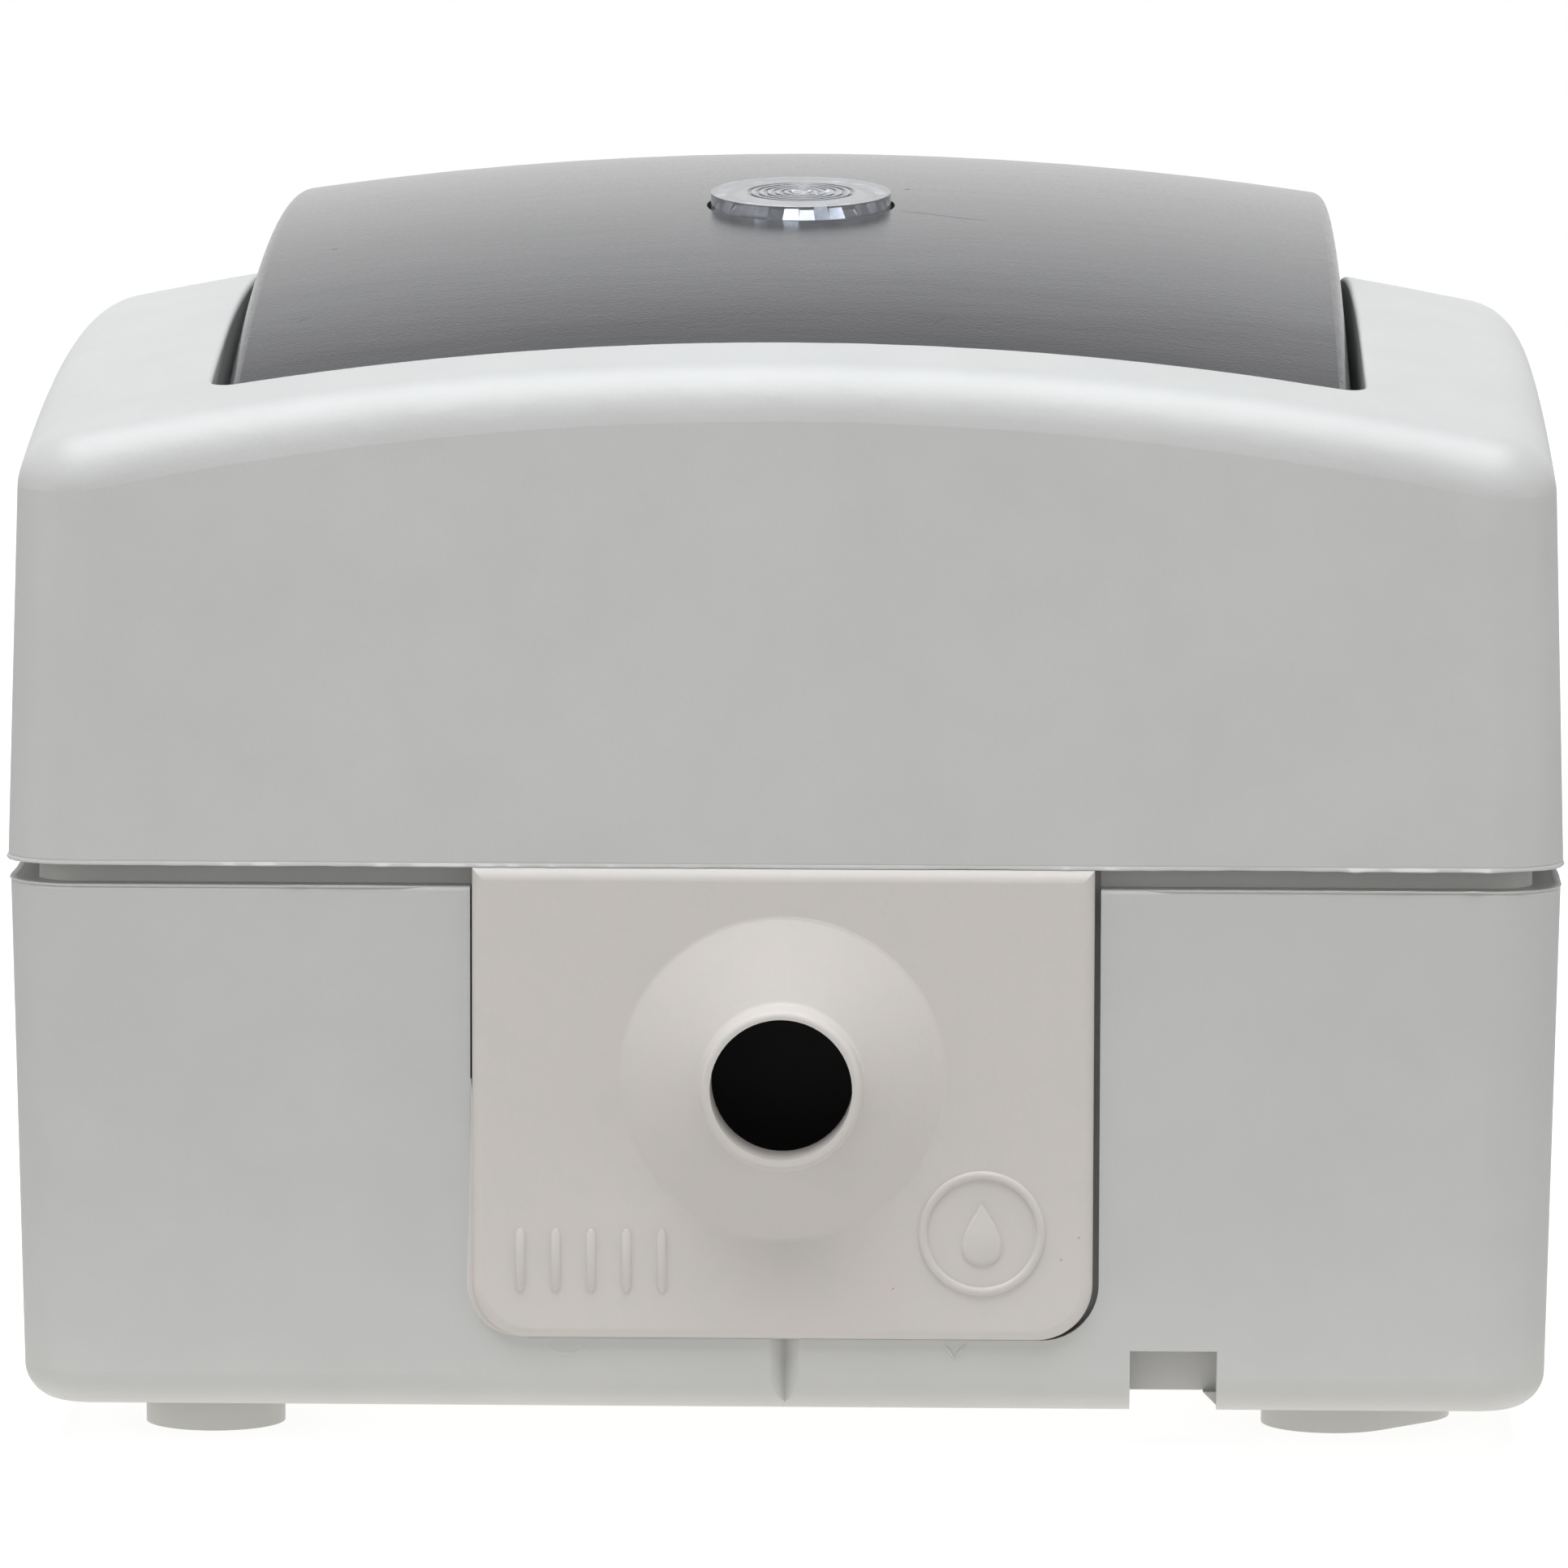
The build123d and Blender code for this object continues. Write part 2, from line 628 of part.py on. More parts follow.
for place in insert_screw_places:
    socket -= upright_rod(place, (insert_seat, socket_top), screw_pass_radius)
nodes["contact_socket"] = socket

# Plunger with its stem, stop flange and spring spigot
stem_x = (-stem_half_width, stem_half_width)
stem_y = (plunger_y - stem_half_length, plunger_y + stem_half_length)
plunger = block(stem_x, stem_y, (flange_top, plunger_top))
flange_x = (-plunger_flange_half_width, plunger_flange_half_width)
flange_y = (stem_y[0] - plunger_flange_step, stem_y[1] + plunger_flange_step)
plunger += block(flange_x, flange_y, (bridge_top, flange_top))
plunger += upright_rod((0, plunger_y), (bridge_bottom - spigot_length, bridge_top), spigot_radius)
nodes["plunger"] = plunger

# Contact bridge and the return spring
bridge_range = (bridge_bottom, bridge_top)
bridge_y = (plunger_y - bridge_half_width, plunger_y + bridge_half_width)
bridge = block((-bridge_x, bridge_x), bridge_y, bridge_range)
bridge -= upright_rod((0, plunger_y), bridge_range, spigot_radius + fit_clearance)
nodes["contact_bridge"] = bridge
coil_low = spring_pocket_floor + spring_wire_radius
coil_height = bridge_bottom - spring_wire_radius - coil_low
coil = Helix(pitch=coil_height / spring_turns, height=coil_height, radius=spring_radius)
wire = Plane(origin=coil @ 0, z_dir=coil % 0) * RegularPolygon(spring_wire_radius, spring_wire_sides)
nodes["return_spring"] = Pos(0, plunger_y, coil_low) * sweep(wire, path=coil, is_frenet=True)


def contact_pair(z_range):
    """Two contact rivets, one at each end of the bridge."""
    return Compound([upright_rod((x, plunger_y), z_range, contact_radius) for x in contact_places])


nodes["bridge_contacts"] = contact_pair((bridge_contact_low, bridge_bottom))
nodes["fixed_contacts"] = contact_pair((strip_top, fixed_contact_top))


def terminal(x):
    """Brass clamp with a wire hole and a screw hole."""
    clamp_x = (x - terminal_width / 2, x + terminal_width / 2)
    clamp = block(clamp_x, (terminal_front, terminal_back), (terminal_bottom, terminal_top))
    wire_z = terminal_bottom + wire_hole_height
    clamp -= rod((x, terminal_front, wire_z), (x, terminal_back, wire_z), wire_hole_radius)
    return clamp - upright_rod((x, terminal_screw_y), (wire_z, terminal_top), screw_hole_radius)


def contact_strip(x):
    """Strip from a terminal to its fixed contact."""
    strip_x = (x - strip_width / 2, x + strip_width / 2)
    return block(strip_x, (terminal_back, plunger_y + strip_width / 2), (strip_bottom, strip_top))


nodes["line_terminal"] = terminal(-terminal_x) + contact_strip(-contact_x)
nodes["switched_terminal"] = terminal(terminal_x) + contact_strip(contact_x)
nodes["neutral_terminal"] = terminal(0)


def screw_set(places, seat, length):
    """Equal screws with their heads on one level."""
    return Compound([Pos(x, y, seat) * cross_screw(length) for x, y in places])


# Screws
terminal_screw_places = [(x, terminal_screw_y) for x in terminal_places]
nodes["terminal_screws"] = screw_set(terminal_screw_places, terminal_top, terminal_screw_length)
cover_screw_length = tray_top - post_top + cover_screw_grip
nodes["cover_screws"] = screw_set([(x, 0) for x in cover_screw_places], tray_top, cover_screw_length)
insert_screw_length = lid_top - insert_seat + insert_screw_grip
nodes["insert_screws"] = screw_set(insert_screw_places, lid_top, insert_screw_length)


def dome_ended_rod(z_range, radius):
    """Upright rod on the z axis with a half ball on its upper end."""
    return upright_rod(middle, z_range, radius) + Pos(0, 0, z_range[1]) * Sphere(radius)


def bent_wire(points):
    """Round wire through the given points."""
    solid = rod(points[0], points[1], lead_radius)
    for start, end in zip(points[1:], points[2:]):
        solid += Pos(*start) * Sphere(lead_radius)
        solid += rod(start, end, lead_radius)
    return solid


# Glow lamp, its leads and the series resistor
bulb_range = (lid_top, lid_top + bulb_length - bulb_radius)
bulb_space = dome_ended_rod(bulb_range, bulb_radius - bulb_wall)
nodes["glow_lamp"] = dome_ended_rod(bulb_range, bulb_radius) - bulb_space
electrode_top = lid_top + electrode_height
resistor_front = -lead_room - resistor_length
neutral_end = terminal_back - lead_radius - terminal_gap
switched_lead = [
    (lead_spacing, 0, electrode_top),
    (lead_spacing, 0, lead_z),
    (contact_x, 0, lead_z),
    (contact_x, 0, strip_top),
]
resistor_lead = [
    (-lead_spacing, 0, electrode_top),
    (-lead_spacing, 0, lead_z),
    (-lead_spacing, -lead_room, lead_z),
]
neutral_lead = [
    (-lead_spacing, resistor_front, lead_z),
    (-lead_spacing, neutral_end, lead_z),
    (-lead_spacing, neutral_end, terminal_top),
]
nodes["lamp_leads"] = Compound([bent_wire(lead) for lead in (switched_lead, resistor_lead, neutral_lead)])
resistor_ends = [(-lead_spacing, y, lead_z) for y in (resistor_front, -lead_room)]
nodes["series_resistor"] = rod(*resistor_ends, resistor_radius)

for name, solid in nodes.items():
    export_step(solid, f"parts/{name}.step")
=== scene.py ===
# %% [markdown]
# # The looks of a surface-mounted pushbutton switch
#
# The switch is a splash-proof box for a wall: a light grey base and hood, a darker rocker in the hood's
# opening, a clear signal lens in the rocker, and a soft grommet where the cable goes in. Its pieces come
# from the CAD frame at their real size. They could be modelled again here, but then two models would have
# to agree, so the frame's own meshes are dressed, and only what moulding and handling leave on them is
# modelled in this file.

# %% Load the frame
import json
import math

import bmesh
import bpy
from mathutils import Matrix, Vector, noise


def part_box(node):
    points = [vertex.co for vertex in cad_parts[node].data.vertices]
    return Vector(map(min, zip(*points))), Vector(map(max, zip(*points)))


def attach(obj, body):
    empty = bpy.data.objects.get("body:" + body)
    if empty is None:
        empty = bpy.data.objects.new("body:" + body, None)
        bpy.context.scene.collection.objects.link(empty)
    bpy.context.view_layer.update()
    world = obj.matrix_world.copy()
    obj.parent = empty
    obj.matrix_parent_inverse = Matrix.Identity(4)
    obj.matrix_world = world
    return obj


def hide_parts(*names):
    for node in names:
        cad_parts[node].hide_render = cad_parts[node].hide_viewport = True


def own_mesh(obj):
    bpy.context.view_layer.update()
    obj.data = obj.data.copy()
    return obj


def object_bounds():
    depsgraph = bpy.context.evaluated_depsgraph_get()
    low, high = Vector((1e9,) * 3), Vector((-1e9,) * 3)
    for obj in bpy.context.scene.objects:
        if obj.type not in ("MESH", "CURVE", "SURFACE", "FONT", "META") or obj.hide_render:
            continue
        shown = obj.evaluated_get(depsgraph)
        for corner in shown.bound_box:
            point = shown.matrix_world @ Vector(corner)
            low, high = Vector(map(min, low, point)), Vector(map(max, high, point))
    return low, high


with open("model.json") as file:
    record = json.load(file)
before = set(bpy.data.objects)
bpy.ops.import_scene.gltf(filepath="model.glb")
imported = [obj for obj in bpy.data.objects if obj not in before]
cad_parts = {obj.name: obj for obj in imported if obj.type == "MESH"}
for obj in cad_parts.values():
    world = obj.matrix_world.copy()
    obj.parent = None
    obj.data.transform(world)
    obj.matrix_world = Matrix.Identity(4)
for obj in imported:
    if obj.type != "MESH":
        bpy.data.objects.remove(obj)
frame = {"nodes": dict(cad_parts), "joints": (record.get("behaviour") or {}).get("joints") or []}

cad_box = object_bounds()
mm = 0.001
cad_nodes = frame["nodes"]
print("CAD nodes:", len(cad_nodes), "box in mm:", [[round(v / mm, 2) for v in corner] for corner in cad_box])

# %% [markdown]
# ## Camera
#
# The picture was taken from far away with a long lens: the box's sides hardly converge, and its top is seen
# at a low angle. A camera could be placed by eye and then nudged, but a long lens hides errors of distance.
# So the place and the angles come from a fit of the box's own corners, and stay as plain sizes.

# %% Place the camera
camera_place = Vector((10.251, -501.797, 83.281)) * mm
camera_near = 10 * mm
# Angles in degrees, then the lens and the sensor in millimetres, as on a real camera.
camera_pitch_down = 6.646
camera_yaw = 1.25
camera_roll = 0.165
camera_lens = 257.21
camera_sensor = 36.0

camera_data = bpy.data.cameras.new("camera")
camera_data.sensor_width = camera_sensor
camera_data.lens = camera_lens
camera_data.clip_start = camera_near
camera = bpy.data.objects.new("camera", camera_data)
turn_left = Matrix.Rotation(math.radians(camera_yaw), 4, "Z")
tip_down = Matrix.Rotation(math.radians(90 - camera_pitch_down), 4, "X")
lean = Matrix.Rotation(math.radians(camera_roll), 4, "Z")
camera.matrix_world = Matrix.Translation(camera_place) @ turn_left @ tip_down @ lean
bpy.context.scene.collection.objects.link(camera)
bpy.context.scene.camera = camera
bpy.context.scene.view_settings.view_transform = "Standard"
print("Camera looks along", [round(v, 3) for v in camera.matrix_world.to_3x3() @ Vector((0, 0, -1))])

# %% [markdown]
# ## Colours and nodes
#
# Colours are written as the sRGB codes that a paint chart or a screen shows, and Blender's shaders want
# linear light, so one function converts them. One more function adds a node, because a material is then a
# short list of nodes, each with its settings and what feeds it, and reads from top to bottom.

# %% Colour and node helpers
def linear(code):
    """Linear RGBA of an sRGB colour such as "#C0C0BE"."""
    channels = [int(code[start:start + 2], 16) / 255 for start in (1, 3, 5)]
    return [c / 12.92 if c <= 0.04045 else ((c + 0.055) / 1.055) ** 2.4 for c in channels] + [1.0]


def add_node(tree, kind, inputs=None, **settings):
    """Adds a node. Each input is a value for that socket, or the output that feeds it."""
    node = tree.nodes.new("ShaderNode" + kind)
    for name, value in settings.items():
        setattr(node, name, value)
    for name, value in (inputs or {}).items():
        if isinstance(value, bpy.types.NodeSocket):
            tree.links.new(value, node.inputs[name])
        else:
            node.inputs[name].default_value = value
    return node


def add_ramp(tree, feed, stops):
    """Adds a colour ramp with a colour at each position from 0 to 1, and gives its colour output."""
    ramp = add_node(tree, "ValToRGB", {"Fac": feed})
    steps = ramp.color_ramp.elements
    while len(steps) < len(stops):
        steps.new(1.0)
    for step, (position, code) in zip(steps, stops):
        step.position = position
        step.color = linear(code)
    return ramp.outputs["Color"]


def new_material(name):
    """Empty node material of that name."""
    material = bpy.data.materials.new(name)
    material.use_nodes = True
    material.node_tree.nodes.clear()
    return material


print("Mid grey #808080 is", round(linear("#808080")[0], 3), "in linear light")

# %% [markdown]
# ## Moulded plastics
#
# The case is light grey ABS, the rocker a darker ABS, the grommet a soft TPE, and the parts inside are PBT
# and POM. All are injection moulded, so they share one make-up: the steel mould's spark-eroded grain, which
# gives the matt look, and slow drifts of tone where the melt flowed. A flat colour would look like computer
# plastic, and a picture of grain would repeat, so both come from noise at real sizes. Spark-eroded grain is
# about 0.05 mm wide, too fine for one pixel here, so it is drawn about 0.2 mm wide to show at all. Melt
# flows across the rocker, so its drifts are stretched along x, and its skin is a little wavy where it
# shrank over the ribs. Scuffs are the same plastic with its gloss rubbed off, and soil on the grommet is
# matt and brown.

# %% Make the moulded plastics
def moulded_plastic(
    name, dark, light, grain, relief, roughness, ior, drift=5 * mm, stretch=(1, 1, 1), sink=0.0,
):
    """Matt plastic whose tone and level drift with the melt's flow, under a fine grain."""
    material = new_material(name)
    tree = material.node_tree
    place = add_node(tree, "TexCoord").outputs["Object"]
    flow_place = add_node(tree, "Mapping", {"Vector": place, "Scale": stretch}).outputs["Vector"]
    flow = add_node(tree, "TexNoise", {
        "Vector": flow_place,
        "Scale": 1 / drift,
        "Detail": 4.0,
        "Roughness": 0.6,
    })
    tone = add_ramp(tree, flow.outputs["Fac"], [(0.35, dark), (0.65, light)])
    pits = add_node(tree, "TexNoise", {"Vector": place, "Scale": 1 / grain, "Detail": 2.0}).outputs["Fac"]
    gloss = add_node(tree, "MapRange", {"Value": pits, "To Min": roughness[0], "To Max": roughness[1]})
    waves = add_node(tree, "Bump", {"Height": flow.outputs["Fac"], "Distance": sink}).outputs["Normal"]
    bump = add_node(tree, "Bump", {"Height": pits, "Distance": relief, "Normal": waves})
    shader = add_node(tree, "BsdfPrincipled", {
        "Base Color": tone,
        "Roughness": gloss.outputs["Result"],
        "Normal": bump.outputs["Normal"],
        "IOR": ior,
    })
    add_node(tree, "OutputMaterial", {"Surface": shader.outputs["BSDF"]})
    return material


across = (0.25, 1, 1)
case_abs = moulded_plastic("abs_light_grey", "#BDBDBB", "#C0C0BE", 0.22 * mm, 0.006 * mm, (0.42, 0.52), 1.54)
rocker_abs = moulded_plastic(
    "abs_mid_grey", "#424244", "#474749", 0.16 * mm, 0.006 * mm, (0.19, 0.27), 1.54,
    drift=4 * mm, stretch=across, sink=0.015 * mm,
)
scuffed_abs = moulded_plastic(
    "abs_mid_grey_scuffed", "#3A3A3B", "#434345", 0.10 * mm, 0.004 * mm, (0.5, 0.6), 1.54,
)
grommet_tpe = moulded_plastic(
    "tpe_warm_grey", "#C8C5C0", "#CCC5C1", 0.25 * mm, 0.008 * mm, (0.55, 0.68), 1.50, drift=1.6 * mm,
)
insert_pbt = moulded_plastic("pbt_black", "#1A1A1B", "#1F1F20", 0.25 * mm, 0.003 * mm, (0.40, 0.50), 1.55)
carrier_pom = moulded_plastic("pom_white", "#E4E4E1", "#EAEAE7", 0.30 * mm, 0.002 * mm, (0.25, 0.34), 1.48)
gasket_epdm = moulded_plastic("epdm_black", "#191918", "#20201F", 0.15 * mm, 0.010 * mm, (0.65, 0.80), 1.50)
resistor_lacquer = moulded_plastic(
    "resistor_lacquer", "#B4936C", "#BE9E78", 0.4 * mm, 0.002 * mm, (0.25, 0.35), 1.50,
)
brown_soil = moulded_plastic("brown_soil", "#94826F", "#A08E7C", 0.10 * mm, 0.010 * mm, (0.70, 0.80), 1.45)
print("Moulded plastics:", [m.name for m in (case_abs, rocker_abs, grommet_tpe, insert_pbt, carrier_pom)])

# %% [markdown]
# ## Metals
#
# The terminals are stamped brass, the contacts silver rivets, the screws zinc-plated steel and the spring a
# drawn wire. They sit inside the box and show only when it is opened. A stamped or drawn part has fine
# scratches along one direction, so the roughness follows a noise that is stretched, and the tone drifts
# where fingers and air have dulled it.

# %% Make the metals
drawn_out = (1.0, 0.08, 1.0)
dull_patch = 3 * mm


def worked_metal(name, dark, light, scratch, roughness):
    """Bare or plated metal with drawn scratches of that width."""
    material = new_material(name)
    tree = material.node_tree
    place = add_node(tree, "TexCoord").outputs["Object"]
    drawn = add_node(tree, "Mapping", {"Vector": place, "Scale": drawn_out}).outputs["Vector"]
    lines = add_node(tree, "TexNoise", {"Vector": drawn, "Scale": 1 / scratch, "Detail": 3.0})
    dulled = add_node(tree, "TexNoise", {"Vector": place, "Scale": 1 / dull_patch, "Detail": 3.0})
    gloss = add_node(tree, "MapRange", {
        "Value": lines.outputs["Fac"],
        "To Min": roughness[0],
        "To Max": roughness[1],
    })
    shader = add_node(tree, "BsdfPrincipled", {
        "Base Color": add_ramp(tree, dulled.outputs["Fac"], [(0.0, dark), (1.0, light)]),
        "Roughness": gloss.outputs["Result"],
        "Metallic": 1.0,
    })
    add_node(tree, "OutputMaterial", {"Surface": shader.outputs["BSDF"]})
    return material


stamped_brass = worked_metal("brass_stamped", "#B08D4C", "#CBA862", 0.10 * mm, (0.25, 0.40))
contact_silver = worked_metal("silver_contact", "#D2D0CA", "#E4E2DC", 0.15 * mm, (0.20, 0.35))
plated_steel = worked_metal("zinc_plated_steel", "#A9ABAD", "#C3C5C6", 0.12 * mm, (0.30, 0.45))
spring_wire = worked_metal("spring_steel_wire", "#8E8F91", "#A7A8AA", 0.08 * mm, (0.28, 0.42))
tinned_copper = worked_metal("tinned_copper", "#BDBDBB", "#D0D0CE", 0.10 * mm, (0.25, 0.38))
print("Metals:", [m.name for m in (stamped_brass, contact_silver, plated_steel, spring_wire, tinned_copper)])

# %% [markdown]
# ## Clear parts
#
# The signal lens is clear polycarbonate, and the glow lamp behind it is glass. Both could be faked with a
# pale see-through colour, but the rings on the lens only read when light bends in them, so both refract.
# The lens's wall is polished, and its ringed top is a little hazy, so the roughness follows the way a face
# points.

# %% Make the clear materials
# The upward part of a face's direction: below the first it counts as wall, above the second as top.
wall_upward, top_upward = 0.5, 0.8


def clear_material(name, tint, ior, ripple, relief, wall_roughness, top_roughness, clearness):
    """Clear moulded or blown material with a faint ripple in its surface."""
    material = new_material(name)
    tree = material.node_tree
    place = add_node(tree, "TexCoord").outputs["Object"]
    waves = add_node(tree, "TexNoise", {"Vector": place, "Scale": 1 / ripple, "Detail": 2.0}).outputs["Fac"]
    bump = add_node(tree, "Bump", {"Height": waves, "Distance": relief})
    facing = add_node(tree, "NewGeometry").outputs["Normal"]
    level = add_node(tree, "SeparateXYZ", {"Vector": facing}).outputs["Z"]
    haze = add_node(tree, "MapRange", {
        "Value": level,
        "From Min": wall_upward,
        "From Max": top_upward,
        "To Min": wall_roughness,
        "To Max": top_roughness,
    })
    shader = add_node(tree, "BsdfPrincipled", {
        "Base Color": linear(tint),
        "Roughness": haze.outputs["Result"],
        "IOR": ior,
        "Transmission Weight": clearness,
        "Normal": bump.outputs["Normal"],
    })
    add_node(tree, "OutputMaterial", {"Surface": shader.outputs["BSDF"]})
    return material


lens_pc = clear_material("polycarbonate_clear", "#E6E8EC", 1.585, 0.9 * mm, 0.006 * mm, 0.03, 0.15, 0.85)
lamp_glass = clear_material("lamp_glass", "#FAF6F0", 1.50, 2.0 * mm, 0.004 * mm, 0.01, 0.01, 1.0)
print("Clear materials:", lens_pc.name, lamp_glass.name)

# %% [markdown]
# ## Dress the frame
#
# Each CAD node keeps its shape and gets the finish of what it is made of. Finishes could be picked one by
# one in the editor, but a table shows at a glance which part is made of what, and a node left out is soon
# seen.

# %% Give each node its material
finish_of = {
    "base_box": case_abs,
    "cover_hood": case_abs,
    "cover_gasket": gasket_epdm,
    "cover_screws": plated_steel,
    "cable_grommet": grommet_tpe,
    "rocker_cap": rocker_abs,
    "signal_lens": lens_pc,
    "rocker_carrier": carrier_pom,
    "bearing_lid": insert_pbt,
    "contact_socket": insert_pbt,
    "insert_screws": plated_steel,
    "plunger": carrier_pom,
    "contact_bridge": stamped_brass,
    "bridge_contacts": contact_silver,
    "return_spring": spring_wire,
    "line_terminal": stamped_brass,
    "switched_terminal": stamped_brass,
    "neutral_terminal": stamped_brass,
    "fixed_contacts": contact_silver,
    "terminal_screws": plated_steel,
    "glow_lamp": lamp_glass,
    "lamp_leads": tinned_copper,
    "series_resistor": resistor_lacquer,
}
for name, finish in finish_of.items():
    cad_nodes[name].material_slots[0].material = finish
print("Dressed", len(finish_of), "of", len(cad_nodes), "nodes")

# %% [markdown]
# ## Skins and beads
#
# What is added to the frame is small and long: fins along an edge, beads on a face. Curves with a bevel
# could make them, but a bevel stays round and can't follow a surface. So a skin is laid over rings of
# points, one function makes the piece, and another finds where a line of sight meets a CAD node, so a bead
# sits on it.

# %% Piece helpers
crease = math.radians(50)


def add_skin(name, rings, closed, material, body):
    """Closed piece over rings of points, which run in a loop or are capped at both ends."""
    size = len(rings[0])
    steps = len(rings) if closed else len(rings) - 1
    faces = [] if closed else [range(size), range(steps * size, (steps + 1) * size)]
    for step in range(steps):
        here = step * size
        there = (step + 1) % len(rings) * size
        for spot in range(size):
            beside = (spot + 1) % size
            faces.append((here + spot, here + beside, there + beside, there + spot))
    mesh = bpy.data.meshes.new(name)
    mesh.from_pydata([point for ring in rings for point in ring], [], [tuple(face) for face in faces])
    shape = bmesh.new()
    shape.from_mesh(mesh)
    bmesh.ops.recalc_face_normals(shape, faces=shape.faces)
    shape.to_mesh(mesh)
    shape.free()
    mesh.materials.append(material)
    mesh.shade_smooth()
    mesh.set_sharp_from_angle(angle=crease)
    piece = bpy.data.objects.new(name, mesh)
    bpy.context.scene.collection.objects.link(piece)
    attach(piece, body)
    return piece


def touch(node, start, heading):
    """Point and normal where a line from a place first meets a CAD node."""
    _, point, normal, _ = cad_nodes[node].ray_cast(start, heading)
    return point, normal


bead_section = ((-0.5, -0.4), (-0.4, 0.6), (-0.2, 1.0), (0.2, 1.0), (0.4, 0.6), (0.5, -0.4))
bead_end = 0.4


def bead_rings(node, path, heading, width, height, closed, section=bead_section):
    """Rings of a low rounded bead on a CAD node, below a path that is seen along a heading."""
    seats = [touch(node, place, heading) for place in path]
    last = len(seats) - 1
    rings = []
    for number, (point, normal) in enumerate(seats):
        before = seats[number - 1] if closed or number else seats[0]
        after = seats[(number + 1) % len(seats)] if closed or number < last else seats[last]
        side = normal.cross((after[0] - before[0]).normalized())
        scale = 1.0 if closed or 0 < number < last else bead_end
        rings.append([point + side * sideways * width * scale + normal * up * height * scale
                      for sideways, up in section])
    return rings


def thinned(rings, corner, spans):
    """The rings, thinned towards one corner of their section over a span of rings at each end."""
    last = len(rings) - 1
    thin = []
    for number, ring in enumerate(rings):
        share = min(1.0, (number + 1) / spans[0], (last - number + 1) / spans[1])
        thin.append([ring[corner].lerp(point, share) for point in ring])
    return thin


print("Bead section has", len(bead_section), "points")

# %% [markdown]
# ## Return spring
#
# The spring under the plunger is a coil of steel wire that shortens by as much as the plunger comes down. A
# copy of the CAD spring, with a mesh of its own, stands in its place on the case. The copy keeps the CAD
# spring's length, and nothing here shortens it.

# %% Put a copy of the spring in its place
spring = bpy.data.objects.new("return_spring_coil", cad_nodes["return_spring"].data.copy())
bpy.context.scene.collection.objects.link(spring)
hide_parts("return_spring")
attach(spring, "case")
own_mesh(spring)

# %% [markdown]
# ## Prisms in the lens
#
# Seen from the side, the rim of the lens sparkles: prisms moulded behind its wall turn light from above
# towards the eye. Clear plastic that reflects totally acts as a mirror, and a path tracer needs a great
# many rays to find that light by itself. So the prisms are a ring of small wedges with mirror faces, inside
# the clear lens. They all differ a little, so that some flash white while their neighbours stay dark.

# %% Set the prisms behind the lens's wall
press = next(joint for joint in frame["joints"] if joint["name"] == "rocker_press")
rest_tilt = math.radians(press["range_deg"][1]) / 2
lens_axis = Vector((0, -math.sin(rest_tilt), math.cos(rest_tilt)))
lens_back = Vector((0, math.cos(rest_tilt), math.sin(rest_tilt)))
far_above = 50 * mm
lens_crown, _ = touch("signal_lens", Vector(press["pos_m"]) + lens_axis * far_above, -lens_axis)
prism_count = 34
prism_gap = 0.03
prism_outer = 3.85 * mm
prism_inner = 3.30 * mm
prism_heel = 3.05 * mm
prism_top = 0.17 * mm
prism_foot = 0.62 * mm
prism_sway = 0.50 * mm
prism_step = 0.20 * mm
# Where the noise is read first, and strides so long that neighbouring prisms have nothing in common.
sway_start, sway_stride = Vector((0.31, 0.5, 0.5)), Vector((7.31, 0, 0))
step_start, step_stride = Vector((0.62, 1.5, 0.5)), Vector((5.17, 0, 0))
prism_mirror = worked_metal("polycarbonate_prism", "#9EA2AA", "#C4C8D0", 0.30 * mm, (0.15, 0.28))
prism_rings = []
for number in range(prism_count):
    sway = prism_sway * noise.noise(sway_start + sway_stride * number)
    step = prism_step * noise.noise(step_start + step_stride * number)
    for edge in (prism_gap, 1 - prism_gap):
        turn = 2 * math.pi * (number + edge) / prism_count
        out = Vector((math.sin(turn), 0, 0)) - lens_back * math.cos(turn)
        prism_rings.append([
            lens_crown + out * prism_outer - lens_axis * prism_foot,
            lens_crown + out * (prism_inner + sway) - lens_axis * (prism_top + step),
            lens_crown + out * prism_heel - lens_axis * prism_foot,
        ])
add_skin("lens_prisms", prism_rings, True, prism_mirror, "rocker").data.shade_flat()
print("Prisms:", prism_count, "round a lens whose top is at", [round(v / mm, 2) for v in lens_crown])

# %% [markdown]
# ## Moulding flash
#
# Where the two halves of a mould meet, a little melt creeps out and leaves a thin fin. On this hood it runs
# along the lower edge: a pale wavy line about 0.1 mm high, with a few lumps where a blade has trimmed it
# badly. The base has the same along its upper edge, finer. A bump pattern could hint at it, but the fin
# stands free in the gap's shadow and makes the edge's outline wavy, so it is a real fin with a wedge
# section.

# %% Lay the flash along both edges
case_corner = 3.0 * mm
corner_bends = 8
flash_step = 0.25 * mm
flash_wave = 4.0 * mm
flash_ripple = 0.9 * mm
flash_lump = 0.35 * mm
flash_root = 0.25 * mm
wave_share, ripple_share = 0.8, 0.5
# Corners of the wedge as shares of its rise and reach, and how far a swell pulls its tip and belly down.
fin_top, fin_tip, fin_heel = 1.2, 0.2, 0.15
fin_shoulder, fin_belly = 0.2, 0.8
tip_pull, belly_pull = 0.25, 0.35


